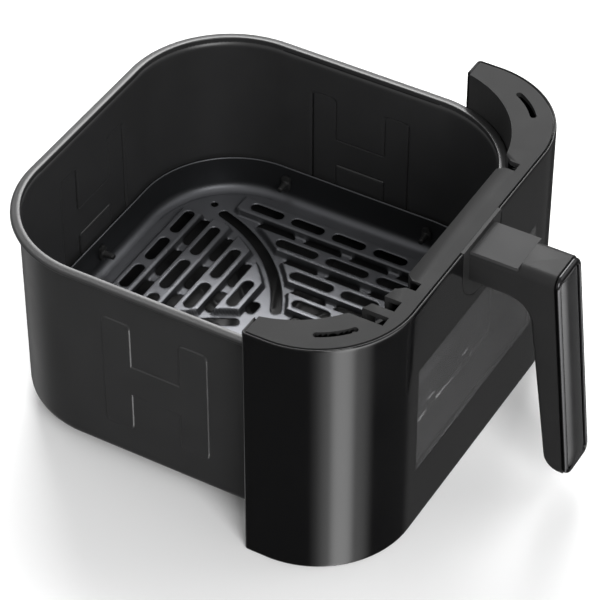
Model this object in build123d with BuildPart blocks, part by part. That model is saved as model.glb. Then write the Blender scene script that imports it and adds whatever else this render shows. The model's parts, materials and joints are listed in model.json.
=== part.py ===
from build123d import *
from math import cos, radians, sin, sqrt
import os

os.makedirs("parts", exist_ok=True)

# Pull-out drawer of an air fryer. +Z is up, -Y is the handle side, and the origin is under the
# middle of the whole drawer, on the plane that the housing's lower edge stands on.

# Driving dimensions, in mm
pan_size = 236.0  # over the curled rim, both ways
pan_corner = 65.5  # plan radius of the rim's corners
rim_overhang = 4.5  # rim beyond the pan's wall
rim_height = 137.3  # top of the rim above the housing's lower edge
pan_height = 124.5
pan_sheet = 1.2
housing_width = 264.0
housing_corner = 57.0
housing_height = 159.3
shell_wall = 2.0
face_reach = 136.0  # from the pan's centre forward to the flat front face
side_reach = 65.2  # from the pan's centre forward to the housing's free side edges
grip_reach = 202.49  # from the pan's centre forward to the handle's outermost point
tray_half = 110.8
tray_corner = 59.5
tray_rim = 49.3  # height of the tray's rim
tray_floor = 26.3  # height of the tray's floor between its ribs
window_width = 137.0
window_bottom = 39.5
window_top = 113.3
arm_width = 28.2
arm_top = 155.8
arm_bottom = 133.5
gap = 0.15  # between fixed pieces that sit side by side

pan_half = pan_size / 2
wall_half = pan_half - rim_overhang
wall_corner = pan_corner - rim_overhang
pan_bottom = rim_height - pan_height
pan_floor = pan_bottom + pan_sheet
pan_y = (grip_reach - pan_half) / 2  # the pan's centre, so that the drawer is centred on Y
front_y = pan_y - face_reach
side_y = pan_y - side_reach
window_middle = (window_bottom + window_top) / 2


def reach(distance):
    """Y of a point that lies this far in front of the pan's centre."""
    return pan_y - distance


def rounded_square(half, corner, level):
    """Horizontal rounded square round the pan's axis."""
    with BuildSketch(Plane.XY.offset(level)) as square:
        with Locations((0, pan_y)):
            RectangleRounded(2 * half, 2 * half, corner)
    return square.sketch


def housing_plan(inset, back, level):
    """Horizontal outline of the housing: straight back edge, two round front corners."""
    half = housing_width / 2 - inset
    front = front_y + inset
    with BuildSketch(Plane.XY.offset(level)) as plan:
        with BuildLine():
            FilletPolyline(
                (-half, back), (-half, front), (half, front), (half, back), radius=housing_corner - inset
            )
            Line((half, back), (-half, back))
        make_face()
    return plan.sketch


def front_panel(width, bottom, top, corner, distance):
    """Upright rounded rectangle that faces forward, at a distance from the pan's centre."""
    with BuildSketch(Plane.XZ.offset(-reach(distance))) as panel:
        with Locations((0, (bottom + top) / 2)):
            RectangleRounded(width, top - bottom, corner)
    return panel.sketch


def front_ring(width, bottom, top, corner, wall, distance):
    """Frame of an even width that faces forward, at a distance from the pan's centre."""
    with BuildSketch(Plane.XZ.offset(-reach(distance))) as ring:
        with Locations((0, (bottom + top) / 2)):
            RectangleRounded(width, top - bottom, corner)
            RectangleRounded(
                width - 2 * wall, top - bottom - 2 * wall, max(corner - wall, 0.5), mode=Mode.SUBTRACT
            )
    return ring.sketch


def front_circles(points, radius, distance):
    """Circles at points (x, height) on an upright plane that faces forward."""
    with BuildSketch(Plane.XZ.offset(-reach(distance))) as circles:
        with Locations(*points):
            Circle(radius)
    return circles.sketch


def save(sub_part, label):
    """Names a finished sub-part and writes it."""
    sub_part.part.label = label
    export_step(sub_part.part, f"parts/{label}.step")


# ---- Window sizes ----
pan_opening_width = 94.0  # kept to the flat part of the pan's front wall
pan_opening_margin = 4.5  # below and above, the opening is smaller than the window by this much
pane_wall = 2.0
seal_depth = 2.0
gasket_depth = 1.5
glass_depth = 4.0
glass_overlap = 5.0  # glass beyond the pan's opening, all round
frame_sheet = 1.2
frame_lip = 4.0
glass_width = pan_opening_width + 2 * glass_overlap
glass_bottom = window_bottom + pan_opening_margin - glass_overlap
glass_top = window_top - pan_opening_margin + glass_overlap
frame_width = glass_width + 2 * (frame_sheet + gap)
frame_bottom = glass_bottom - frame_sheet - gap
frame_top = glass_top + frame_sheet + gap
frame_front = wall_half + gasket_depth + glass_depth
tab_width = 9.0
tab_height = 12.0
tab_x = frame_width / 2 + tab_width / 2 - 1
tab_heights = (window_middle - 24, window_middle + 24)
hook_width = 9.0  # of the two tabs on the frame's lower edge that grip the glass
hook_height = 11.0
hook_spread = 20.5
rivet_radius = 1.6
rivet_head = 3.0
rivet_height = 1.4
shroud_wall = 1.6
shroud_back = frame_front + frame_sheet + 0.3
seal_back = face_reach - pane_wall - seal_depth
frame_rivets = [(x, height) for x in (-tab_x - 1.5, tab_x + 1.5) for height in tab_heights]

# ---- Mounting bracket sizes ----
bracket_sheet = 2.0
bracket_half = 15.0
bracket_foot = 117.5  # lower edge on the pan's wall
bracket_shelf = 131.0  # top of its shelf under the pan's rim
bracket_reach = 131.5  # front of its upright from the pan's centre
bracket_top = 153.0
bracket_rivet_x = 9.0
bracket_rivet_height = 123.0
handle_screw_x = 5.0
handle_screw_height = 147.0
handle_screw_radius = 2.0
handle_screw_length = 15.0
handle_screw_head = 4.0
washer_height = 0.8
bracket_rivets_at = [(x, bracket_rivet_height) for x in (-bracket_rivet_x, bracket_rivet_x)]
handle_screws_at = [(x, handle_screw_height) for x in (-handle_screw_x, handle_screw_x)]

# ---- Pan ----
pan_bottom_radius = 5.0
rim_thickness = 3.2
rim_round = 1.5
press_depth = 0.8
press_bar_middle = 24.2  # each upright of the H from its middle line
press_bar_width = 17.7
press_top = 112.3
press_bottom = 35.3
press_cross_middle = 72.0
press_cross_height = 20.5
floor_rib_count = 16
floor_rib_length = 62.0
floor_rib_width = 3.0
floor_rib_height = 0.8
floor_rib_radius = 62.0  # middle of each rib from the pan's axis


def wall_plane(angle, half):
    """Upright plane on the side of the pan that faces the given direction."""
    facing = (cos(radians(angle)), sin(radians(angle)))
    return Plane(
        origin=(half * facing[0], pan_y + half * facing[1], 0),
        x_dir=(-facing[1], facing[0], 0),
        z_dir=(facing[0], facing[1], 0),
    )


def pressed_h(plane):
    """Outline of the H that is pressed into three of the pan's walls."""
    with BuildSketch(plane) as outline:
        with Locations((0, (press_top + press_bottom) / 2)):
            with GridLocations(2 * press_bar_middle, 0, 2, 1):
                Rectangle(press_bar_width, press_top - press_bottom)
        with Locations((0, press_cross_middle)):
            Rectangle(2 * press_bar_middle, press_cross_height)
        fillet(outline.vertices(), 3)
    return outline.sketch


with BuildPart() as pan:
    extrude(rounded_square(wall_half, wall_corner, pan_bottom), amount=pan_height)
    fillet(pan.faces().sort_by(Axis.Z)[0].edges(), pan_bottom_radius)
    offset(amount=-pan_sheet, openings=pan.faces().sort_by(Axis.Z)[-1])
    for side in (0, 90, 180):
        extrude(pressed_h(wall_plane(side, wall_half)), amount=press_depth, taper=40)
        extrude(
            pressed_h(wall_plane(side, wall_half - pan_sheet)),
            amount=press_depth,
            taper=40,
            mode=Mode.SUBTRACT,
        )
    rim_level = rim_height - rim_thickness
    extrude(rounded_square(pan_half, pan_corner, rim_level), amount=rim_thickness)
    extrude(
        rounded_square(wall_half - pan_sheet, wall_corner - pan_sheet, rim_level),
        amount=rim_thickness,
        mode=Mode.SUBTRACT,
    )
    rim_edges = pan.faces().filter_by(Axis.Z).sort_by(Axis.Z)[-1].outer_wire().edges()
    fillet(rim_edges, rim_round)
    extrude(
        front_panel(
            pan_opening_width,
            window_bottom + pan_opening_margin,
            window_top - pan_opening_margin,
            5,
            wall_half - 3,
        ),
        amount=6,
        mode=Mode.SUBTRACT,
    )
    extrude(
        front_circles(frame_rivets + bracket_rivets_at, rivet_radius + 0.05, wall_half - 3),
        amount=6,
        mode=Mode.SUBTRACT,
    )
    with BuildSketch(Plane.XY.offset(pan_floor)):
        with Locations((0, pan_y)):
            with PolarLocations(floor_rib_radius, floor_rib_count):
                SlotOverall(floor_rib_length, floor_rib_width)
    extrude(amount=floor_rib_height)

# ---- Bumpers in the tray's walls ----
bumper_height = 38.0
bumper_spread = 48.0  # of the two on each side wall, from the tray's middle
bumper_front_spread = 22.0
bumper_head = 1.2  # thickness of the head between the tray and the pan
bumper_head_width = 9.0
bumper_head_height = 15.0
bumper_neck_radius = 3.0
bumper_pad = 1.8  # thickness of the pad inside the tray
bumper_pad_width = 6.0
bumper_pad_height = 11.0
bumper_pin_radius = 2.3
bumper_pin_length = 7.0
bumper_sides = [(side, along) for side in (0, 180) for along in (-bumper_spread, bumper_spread)]
bumper_sides += [(90, 0), (270, -bumper_front_spread), (270, bumper_front_spread)]


def bumper_plane(side, along, distance):
    """Upright plane at one bumper, facing out of the tray, at a distance from its axis."""
    base = wall_plane(side, distance)
    return Plane(origin=base.from_local_coords((along, bumper_height, 0)), x_dir=base.x_dir, z_dir=base.z_dir)


# ---- Crisper tray ----
tray_sheet = 1.0
tray_foot_radius = 7.0
rib_height = 3.0
rib_width = 14.5  # at the foot of its sloped sides
rib_slope = 25  # degrees off upright
rib_slot = 6.6
trough_slot = 6.0
rib_rows = (88.5, 67.5, 46.5, 25.5)  # middle lines of the ribs from the tray's axis
trough_rows = (78.0, 57.0, 36.0, 15.0)
rib_slot_lengths = (22.0, 28.0, 28.5, 28.5)
trough_slot_lengths = (25.5, 22.5, 22.5, 22.5)
slot_gap = 6.0
shortest_slot = 8.0
band_centre = (-27.7, 101.1)  # centre of the curved band that runs from a corner to the middle
band_radius = 109.0
band_slot_width = 6.3
band_slot_from = -65.0  # degrees, the end of its slot near the tray's middle
band_slot_turn = 50.0
band_inner = 101.8  # ribs inside the curve end here
band_outer = 115.0  # ribs outside the curve start here
corner_limit = 60.0  # no slot comes nearer to the tray's corner than this
corner_hole = 82.5


def quarter_plane(quarter, level):
    """Horizontal plane on the tray's axis, turned by quarter turns."""
    angle = radians(90 * quarter)
    return Plane(origin=(0, pan_y, level), x_dir=(cos(angle), sin(angle), 0), z_dir=(0, 0, 1))


def row_limits(row, start_radius, end_radius):
    """Top and bottom of a row that lies between two of the curved bands."""
    across, along = band_centre
    top = along - sqrt(max(start_radius**2 - (row - across) ** 2, (along - corner_limit) ** 2))
    bottom = -across - sqrt(end_radius**2 - (row - along) ** 2)
    return top, bottom


def slot_spans(top, bottom, length, from_top):
    """Middle and length of each slot, laid one after another from one end of a row."""
    spans = []
    used = 0.0
    room = top - bottom
    while room - used >= shortest_slot:
        size = min(length, room - used)
        middle = top - used - size / 2 if from_top else bottom + used + size / 2
        spans.append((middle, size))
        used += size + slot_gap
    return spans


def rib_plan(row, quarter):
    """Foot of one raised rib, cut along the curved band at each end."""
    with BuildSketch(quarter_plane(quarter, tray_floor)) as foot:
        top, bottom = row_limits(row, band_outer, band_inner)
        with Locations((row, (top + bottom) / 2)):
            Rectangle(rib_width, top - bottom + 14)
        with Locations((band_centre[1], -band_centre[0])):
            Circle(band_inner, mode=Mode.INTERSECT)
        with Locations(band_centre):
            Circle(band_outer, mode=Mode.SUBTRACT)
        Rectangle(2 * rib_rows[0] + rib_width, 2 * (corner_limit + 8), mode=Mode.INTERSECT)
    return foot.sketch


band_arc = CenterArc(band_centre, band_radius, band_slot_from, band_slot_turn)

with BuildPart() as crisper_tray:
    tray_bottom = tray_floor - tray_sheet
    extrude(rounded_square(tray_half, tray_corner, tray_bottom), amount=tray_rim - tray_bottom)
    fillet(crisper_tray.faces().sort_by(Axis.Z)[0].edges(), tray_foot_radius)
    offset(amount=-tray_sheet, openings=crisper_tray.faces().sort_by(Axis.Z)[-1])
    for quarter in range(4):
        for row in rib_rows:
            extrude(rib_plan(row, quarter), amount=rib_height, taper=rib_slope)
    for quarter in range(4):
        with BuildSketch(quarter_plane(quarter, tray_bottom)):
            from_top = quarter % 2 == 0
            for row, length in zip(rib_rows, rib_slot_lengths):
                top, bottom = row_limits(row, band_radius + 9.5, band_radius - 14.3)
                for middle, size in slot_spans(top, bottom, length, from_top):
                    with Locations((row, middle)):
                        SlotOverall(size, rib_slot, rotation=90)
            for row, length in zip(trough_rows, trough_slot_lengths):
                top, bottom = row_limits(row, band_radius + 8.5, band_radius - 11.0)
                for middle, size in slot_spans(top, bottom, length, from_top):
                    with Locations((row, middle)):
                        SlotOverall(size, trough_slot, rotation=90)
            SlotArc(arc=band_arc, height=band_slot_width)
            with Locations((corner_hole, corner_hole)):
                Circle(2.2)
        extrude(amount=rib_height + 2 * tray_sheet, mode=Mode.SUBTRACT)
    for side, along in bumper_sides:
        with BuildSketch(bumper_plane(side, along, tray_half + 1)):
            Circle(bumper_neck_radius)
        extrude(amount=-tray_sheet - 2, mode=Mode.SUBTRACT)

with BuildPart() as tray_bumpers:
    for side, along in bumper_sides:
        with BuildSketch(bumper_plane(side, along, tray_half)):
            SlotOverall(bumper_head_height, bumper_head_width, rotation=90)
        extrude(amount=bumper_head)
        with BuildSketch(bumper_plane(side, along, tray_half)):
            Circle(bumper_neck_radius)
        extrude(amount=-tray_sheet)
        with BuildSketch(bumper_plane(side, along, tray_half - tray_sheet)):
            SlotOverall(bumper_pad_height, bumper_pad_width, rotation=90)
        extrude(amount=-bumper_pad)
        with BuildSketch(bumper_plane(side, along, tray_half - tray_sheet - bumper_pad)):
            Circle(bumper_pin_radius)
        extrude(amount=-bumper_pin_length, taper=6)

# ---- Front shell ----
boss_radius = 4.0
screw_core = 1.3  # radius of the hole that a small screw cuts its thread in
base_half = 21.5  # half width of the handle's base plate
base_centre = 141.3  # height of the centre of its round lower end
cover_boss_x = 126.0
cover_boss_reach = 84.0
liner_wall = 2.0
cover_floor = 3.0  # underside of the rear cover's bottom plate
cover_bosses = [(x, reach(cover_boss_reach)) for x in (-cover_boss_x, cover_boss_x)]


def base_plan(half, distance):
    """Outline of the handle's base: upright sides and a round lower end."""
    with BuildSketch(Plane.XZ.offset(-reach(distance))) as outline:
        with Locations((0, base_centre)):
            Circle(half)
        with Locations((0, (base_centre + housing_height) / 2)):
            Rectangle(2 * half, housing_height - base_centre)
        with Locations((0, housing_height + half)):
            Rectangle(4 * half, 2 * half, mode=Mode.SUBTRACT)
    return outline.sketch


with BuildPart() as front_shell:
    extrude(housing_plan(0, side_y, 0), amount=housing_height)
    extrude(housing_plan(shell_wall, side_y - shell_wall, 0), amount=housing_height, mode=Mode.SUBTRACT)
    extrude(
        rounded_square(pan_half + 0.6, pan_corner + 0.6, 0), amount=housing_height, mode=Mode.SUBTRACT
    )
    extrude(
        front_panel(window_width, window_bottom, window_top, 1.5, face_reach - 6), amount=12, mode=Mode.SUBTRACT
    )
    extrude(base_plan(base_half, face_reach - 6), amount=12, mode=Mode.SUBTRACT)
    with BuildSketch(Plane.XY.offset(cover_floor + liner_wall)):
        with Locations(*cover_bosses):
            Circle(boss_radius + 0.5)
            Circle(screw_core, mode=Mode.SUBTRACT)
    extrude(amount=26)

# ---- Top bezel ----
bezel_thickness = 3.0
bezel_inner = pan_half + 0.4
skirt_wall = 2.0
slot_arc_radius = 44.6  # of the two curved slots, about the housing's corner
slot_arc_from = 28.0
slot_arc_turn = 26.0
slot_arc_width = 3.8
notch_x = 56.5
notch_width = 6.5
notch_depth = 9.5
notch_mouth = 13.0
notch_flare = 4.0  # depth of the flared mouth
notch_drop = 14.0
key_pocket_x = -81.3  # deep pocket with a key in it, beside the left corner
key_pocket_width = 20.5
key_pocket_depth = 7.5
key_width = 5.5
key_x = -82.0
bezel_boss_x = 125.5
bezel_boss_reach = 76.0
bezel_front_boss_x = 38.0
bezel_front_boss_reach = 127.0

corner_x = housing_width / 2 - housing_corner
corner_y = front_y + housing_corner
right_slot_arc = CenterArc((corner_x, corner_y), slot_arc_radius, -slot_arc_from - slot_arc_turn, slot_arc_turn)
left_slot_arc = CenterArc((-corner_x, corner_y), slot_arc_radius, 180 + slot_arc_from, slot_arc_turn)
bezel_bosses = [(x, reach(bezel_boss_reach)) for x in (-bezel_boss_x, bezel_boss_x)]
bezel_bosses += [(x, reach(bezel_front_boss_reach)) for x in (-bezel_front_boss_x, bezel_front_boss_x)]
bezel_back = side_y - shell_wall - gap
bezel_under = housing_height - bezel_thickness

with BuildPart() as top_bezel:
    extrude(housing_plan(shell_wall + gap, bezel_back, bezel_under), amount=bezel_thickness)
    extrude(
        rounded_square(bezel_inner + skirt_wall, pan_corner + skirt_wall, rim_height - 2),
        amount=housing_height - rim_height,
    )
    extrude(rounded_square(bezel_inner, pan_corner, 0), amount=2 * housing_height, mode=Mode.SUBTRACT)
    with Locations((0, bezel_back + pan_size, rim_height)):
        Box(2 * pan_size, 2 * pan_size, 2 * pan_size, mode=Mode.SUBTRACT)
    with BuildSketch(Plane.XY.offset(bezel_under)):
        SlotArc(arc=right_slot_arc, height=slot_arc_width)
        SlotArc(arc=left_slot_arc, height=slot_arc_width)
    extrude(amount=bezel_thickness, mode=Mode.SUBTRACT)
    for x in (-notch_x, notch_x):
        with BuildSketch(Plane.XY.offset(housing_height)):
            with BuildLine():
                Polyline(
                    (x - notch_mouth / 2, reach(bezel_inner - 3)),
                    (x - notch_mouth / 2, reach(bezel_inner)),
                    (x - notch_width / 2, reach(bezel_inner + notch_flare)),
                    (x - notch_width / 2, reach(bezel_inner + notch_depth)),
                    (x + notch_width / 2, reach(bezel_inner + notch_depth)),
                    (x + notch_width / 2, reach(bezel_inner + notch_flare)),
                    (x + notch_mouth / 2, reach(bezel_inner)),
                    (x + notch_mouth / 2, reach(bezel_inner - 3)),
                    close=True,
                )
            make_face()
        extrude(amount=-notch_drop, mode=Mode.SUBTRACT)
    with BuildSketch(Plane.XY.offset(housing_height)):
        with Locations((key_pocket_x, reach(bezel_inner + key_pocket_depth - 10))):
            Rectangle(key_pocket_width, 20)
        with Locations((key_x, reach(bezel_inner + key_pocket_depth - 10))):
            Rectangle(key_width, 20, mode=Mode.SUBTRACT)
    extrude(amount=-notch_drop, mode=Mode.SUBTRACT)
    with BuildSketch(Plane.XY.offset(bezel_under)):
        with Locations(*bezel_bosses):
            Circle(boss_radius)
    extrude(amount=rim_height - 4 - bezel_under)
    with BuildSketch(Plane.XY.offset(rim_height - 4)):
        with Locations(*bezel_bosses):
            Circle(screw_core)
    extrude(amount=15, mode=Mode.SUBTRACT)

# ---- Rear cover ----
liner_inner = wall_half + 0.9
liner_corner = wall_corner + 0.9
cover_top = rim_height - 4
cover_back = side_y - shell_wall - gap
glass_bay_width = 136.0
glass_bay_bottom = 30.0
glass_bay_top = 120.0
screw_clearance = 1.8

with BuildPart() as rear_cover:
    extrude(housing_plan(shell_wall + gap, cover_back, cover_floor), amount=cover_top - cover_floor)
    extrude(
        housing_plan(shell_wall, cover_back - liner_wall, cover_floor + liner_wall),
        amount=cover_top - cover_floor - 2 * liner_wall,
        mode=Mode.SUBTRACT,
    )
    extrude(
        rounded_square(liner_inner + liner_wall, liner_corner + liner_wall, cover_floor),
        amount=cover_top - cover_floor,
    )
    extrude(rounded_square(liner_inner, liner_corner, 0), amount=housing_height, mode=Mode.SUBTRACT)
    with Locations((0, cover_back + pan_size, rim_height)):
        Box(2 * pan_size, 2 * pan_size, 2 * pan_size, mode=Mode.SUBTRACT)
    extrude(
        front_panel(glass_bay_width, glass_bay_bottom, glass_bay_top, 6, liner_inner - 5),
        amount=12,
        mode=Mode.SUBTRACT,
    )
    with Locations((0, reach(liner_inner + 10), cover_top)):
        Box(2 * bracket_half + 4, 30, 40, mode=Mode.SUBTRACT)
    with BuildSketch(Plane.XY.offset(cover_top - liner_wall)):
        with Locations(*bezel_bosses):
            Circle(screw_clearance)
    extrude(amount=liner_wall, mode=Mode.SUBTRACT)
    with BuildSketch(Plane.XY.offset(cover_floor)):
        with Locations(*cover_bosses):
            Circle(screw_clearance)
    extrude(amount=liner_wall, mode=Mode.SUBTRACT)

# ---- Window: outer pane, its seal, the shroud behind it, and the inner glass on the pan ----
with BuildPart() as window_pane:
    extrude(
        front_panel(
            window_width - 0.1, window_bottom + 0.05, window_top - 0.05, 1.5, face_reach - pane_wall
        ),
        amount=pane_wall,
    )

with BuildPart() as window_seal:
    extrude(
        front_ring(window_width + 8, window_bottom - 4, window_top + 4, 4, 6, seal_back),
        amount=seal_depth,
    )

with BuildPart() as window_shroud:
    extrude(
        front_ring(window_width + 2, window_bottom - 1, window_top + 1, 4, shroud_wall, shroud_back),
        amount=seal_back - shroud_back,
    )
    extrude(
        front_panel(window_width + 2, window_bottom - 1, window_top + 1, 4, shroud_back), amount=shroud_wall
    )
    extrude(
        front_panel(pan_opening_width + 4, frame_bottom + 3, frame_top - 3, 4, shroud_back),
        amount=shroud_wall,
        mode=Mode.SUBTRACT,
    )

with BuildPart() as glass_gasket:
    extrude(
        front_ring(glass_width, glass_bottom, glass_top, 4, glass_overlap - 1, wall_half),
        amount=gasket_depth,
    )

with BuildPart() as inner_glass:
    extrude(front_panel(glass_width, glass_bottom, glass_top, 4, wall_half + gasket_depth), amount=glass_depth)
    fillet(inner_glass.faces().sort_by(Axis.Y)[0].edges(), 0.6)

with BuildPart() as glass_frame:
    extrude(
        front_ring(frame_width, frame_bottom, frame_top, 5, frame_sheet, wall_half),
        amount=gasket_depth + glass_depth,
    )
    extrude(
        front_ring(frame_width, frame_bottom, frame_top, 5, frame_lip, frame_front),
        amount=frame_sheet,
    )
    with BuildSketch(Plane.XZ.offset(-reach(wall_half))):
        for height in tab_heights:
            with Locations((-tab_x, height), (tab_x, height)):
                RectangleRounded(tab_width, tab_height, 2)
    extrude(amount=frame_sheet)
    with BuildSketch(Plane.XZ.offset(-reach(frame_front))):
        hook_middle = frame_bottom + hook_height / 2
        with Locations((-hook_spread, hook_middle), (hook_spread, hook_middle)):
            RectangleRounded(hook_width, hook_height, 1)
    extrude(amount=frame_sheet)
    extrude(front_circles(frame_rivets, rivet_radius + 0.05, wall_half), amount=frame_sheet, mode=Mode.SUBTRACT)

with BuildPart() as glass_frame_rivets:
    extrude(front_circles(frame_rivets, rivet_radius, wall_half - pan_sheet), amount=pan_sheet + frame_sheet)
    extrude(front_circles(frame_rivets, rivet_head, wall_half + frame_sheet), amount=rivet_height, taper=30)

# ---- Mounting bracket ----


def side_profile(points, half):
    """Solid of the given width whose outline is given as (distance from the pan's centre, height)."""
    with BuildPart() as solid:
        with BuildSketch(Plane.YZ):
            with BuildLine():
                Polyline(*[(reach(distance), height) for distance, height in points], close=True)
            make_face()
        extrude(amount=half, both=True)
    return solid.part


bracket_points = (
    (wall_half, bracket_foot),
    (wall_half, bracket_shelf),
    (bracket_reach - bracket_sheet, bracket_shelf),
    (bracket_reach - bracket_sheet, bracket_top),
    (bracket_reach, bracket_top),
    (bracket_reach, bracket_shelf - bracket_sheet),
    (wall_half + bracket_sheet, bracket_shelf - bracket_sheet),
    (wall_half + bracket_sheet, bracket_foot),
)

with BuildPart() as mount_bracket:
    add(side_profile(bracket_points, bracket_half))
    extrude(
        front_circles(bracket_rivets_at, rivet_radius + 0.05, wall_half), amount=bracket_sheet, mode=Mode.SUBTRACT
    )
    extrude(
        front_circles(handle_screws_at, handle_screw_radius + 0.2, bracket_reach - bracket_sheet),
        amount=bracket_sheet,
        mode=Mode.SUBTRACT,
    )

with BuildPart() as bracket_rivets:
    extrude(
        front_circles(bracket_rivets_at, rivet_radius, wall_half - pan_sheet), amount=pan_sheet + bracket_sheet
    )
    extrude(
        front_circles(bracket_rivets_at, rivet_head, wall_half + bracket_sheet), amount=rivet_height, taper=30
    )

# ---- Handle ----
arm_half = arm_width / 2
cap_thickness = 2.0
cap_end = 164.0  # end of the cap plate, from the pan's centre
grip_lean = 0.1  # the grip's outer face runs forward by this much for each mm down
outer_at_top = 184.55  # the grip body's outer face at the top of the arm
inner_at_arm = 171.0  # the grip's inner face at the underside of the arm
inner_lean = 0.137
grip_bottom = 19.5
grip_inner_corner = 15.0
grip_throat = 15.0  # inner fillet between the arm and the grip
grip_side_round = 3.5
grip_top_round = 6.0
trim_depth = 4.4
trim_half = 13.9
trim_corner = 6.5
trim_wall = 3.0
trim_top = 155.5
trim_bottom = 18.2
panel_drop = 0.5  # the panel lies below the trim's crest
channel_half = 9.2
channel_floor = 141.0  # underside of the channel for the core, in the arm
channel_depth = 6.0  # in the grip's outer face
channel_end = 52.0
core_end = 53.0
core_top = 152.5
core_sink = 2.5  # the core's outer face lies behind the grip body's outer face by this much
core_screw_heights = (72.0, 122.0)
core_screw_radius = 1.5
core_screw_head = 2.9
core_screw_length = 6.4
base_boss_half = 17.0
base_boss_bottom = 137.0
base_boss_top = 155.0


def outer_at(height):
    """Distance of the grip body's outer face from the pan's centre."""
    return outer_at_top + grip_lean * (arm_top - height)


def inner_at(height):
    """Distance of the grip's inner face from the pan's centre."""
    return inner_at_arm + inner_lean * (arm_bottom - height)


def core_points(clear):
    """Outline of the cast bar inside the handle, grown by a clearance."""
    bottom = channel_floor + gap - clear
    top = core_top + clear
    end = core_end - clear
    back = channel_depth - gap + clear
    return (
        (bracket_reach - clear, bottom),
        (outer_at(bottom) - back, bottom),
        (outer_at(end) - back, end),
        (outer_at(end) - core_sink + clear, end),
        (outer_at(top) - core_sink + clear, top),
        (bracket_reach - clear, top),
    )


def grip_plane(height):
    """Plane on the grip body's outer face at a height, facing out along the face's own normal."""
    return Plane(
        origin=(0, reach(outer_at(height)), height), x_dir=(1, 0, 0), z_dir=(0, -1, grip_lean)
    )


def is_inner_edge(edge):
    """True for the side edges that run under the arm, round the throat and down the grip's back."""
    middle = edge @ 0.5
    distance = pan_y - middle.Y
    return middle.Z < arm_bottom + 0.1 and distance < (inner_at(middle.Z) + outer_at(middle.Z)) / 2


def is_top_edge(edge):
    """True for the side edges along the top of the arm and the grip."""
    middle = edge @ 0.5
    return abs(abs(middle.X) - arm_half) < 0.01 and middle.Z > arm_top - 0.1


with BuildPart() as handle_base:
    extrude(base_plan(base_half - 0.1, face_reach - shell_wall), amount=shell_wall)
    extrude(
        front_panel(2 * base_boss_half, base_boss_bottom, base_boss_top, 2, bracket_reach + gap),
        amount=face_reach - shell_wall - bracket_reach - gap,
    )
    add(side_profile(core_points(gap), channel_half), mode=Mode.SUBTRACT)

channel_points = (
    (face_reach - 1, channel_floor),
    (outer_at(channel_floor) - channel_depth, channel_floor),
    (outer_at(channel_end) - channel_depth, channel_end),
    (outer_at(channel_end) + 3, channel_end),
    (outer_at(core_top + gap) + 3, core_top + gap),
    (cap_end - 3, core_top + gap),
    (cap_end - 3, arm_top),
    (face_reach - 1, arm_top),
)
arm_points = (
    (face_reach, arm_top - cap_thickness),
    (cap_end + 4, arm_top - cap_thickness),
    (cap_end + 4, arm_bottom),
    (face_reach, arm_bottom),
)
grip_points = (
    (cap_end, arm_top),
    (outer_at(arm_top), arm_top),
    (outer_at(grip_bottom), grip_bottom),
    (inner_at(grip_bottom), grip_bottom),
    (inner_at(arm_bottom), arm_bottom),
    (cap_end, arm_bottom),
)

with BuildPart() as handle_body:
    add(side_profile(grip_points, arm_half))
    add(side_profile(arm_points, arm_half))
    throat = handle_body.edges().filter_by(Axis.X).filter_by_position(Axis.Z, arm_bottom - 1, arm_bottom + 1)
    fillet(throat.sort_by(Axis.Y)[0], grip_throat)
    lowest = handle_body.edges().filter_by(Axis.X).group_by(Axis.Z)[0]
    fillet(lowest.sort_by(Axis.Y)[-1], grip_inner_corner - 4)
    side_edges = handle_body.edges().filter_by(lambda edge: abs(abs(edge.center().X) - arm_half) < 0.01)
    inner_edges = side_edges.filter_by(is_inner_edge)
    fillet(inner_edges, grip_side_round)
    top_edges = handle_body.edges().filter_by(is_top_edge)
    fillet(top_edges, grip_top_round)
    arm_cut = (
        (face_reach - 1, arm_top - cap_thickness),
        (face_reach - 1, arm_top + 1),
        (cap_end, arm_top + 1),
        (cap_end, arm_top - cap_thickness),
    )
    add(side_profile(arm_cut, arm_half + 1), mode=Mode.SUBTRACT)
    add(side_profile(channel_points, channel_half), mode=Mode.SUBTRACT)
    for height in core_screw_heights:
        with BuildSketch(grip_plane(height)):
            Circle(core_screw_radius - 0.2)
        extrude(amount=-core_sink - core_screw_length, mode=Mode.SUBTRACT)

with BuildPart() as handle_core:
    add(side_profile(core_points(0), channel_half - gap))
    for height in core_screw_heights:
        with BuildSketch(grip_plane(height)):
            Circle(core_screw_radius + 0.15)
        extrude(amount=-2 * channel_depth, mode=Mode.SUBTRACT)
    extrude(
        front_circles(handle_screws_at, handle_screw_radius + 0.05, bracket_reach - 1),
        amount=handle_screw_length,
        mode=Mode.SUBTRACT,
    )

with BuildPart() as core_screws:
    for height in core_screw_heights:
        seat = grip_plane(height).offset(-core_sink / sqrt(1 + grip_lean**2))
        with BuildSketch(seat):
            Circle(core_screw_radius - 0.25)
        extrude(amount=0.5 - core_screw_length)
        with BuildSketch(seat):
            Circle(core_screw_head)
        extrude(amount=core_sink - 0.4)

with BuildPart() as arm_cap:
    with BuildSketch(Plane.XY.offset(arm_top - cap_thickness)):
        with Locations((0, reach((face_reach + cap_end) / 2))):
            Rectangle(arm_width, cap_end - face_reach - 0.1)
    extrude(amount=cap_thickness)

with BuildPart() as grip_trim:
    trim_middle = (trim_top + trim_bottom) / 2
    trim_length = trim_top - trim_bottom
    with BuildSketch(grip_plane(trim_middle)):
        RectangleRounded(2 * trim_half, trim_length, trim_corner)
        RectangleRounded(
            2 * (trim_half - trim_wall),
            trim_length - 2 * trim_wall,
            trim_corner - trim_wall,
            mode=Mode.SUBTRACT,
        )
    extrude(amount=trim_depth)
    crest = grip_trim.faces().sort_by(Axis((0, 0, 0), (0, -1, grip_lean)))[-1]
    fillet(crest.outer_wire().edges(), trim_wall * 0.55)
    crest = grip_trim.faces().sort_by(Axis((0, 0, 0), (0, -1, grip_lean)))[-1]
    fillet(crest.inner_wires()[0].edges(), trim_wall * 0.3)

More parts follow.
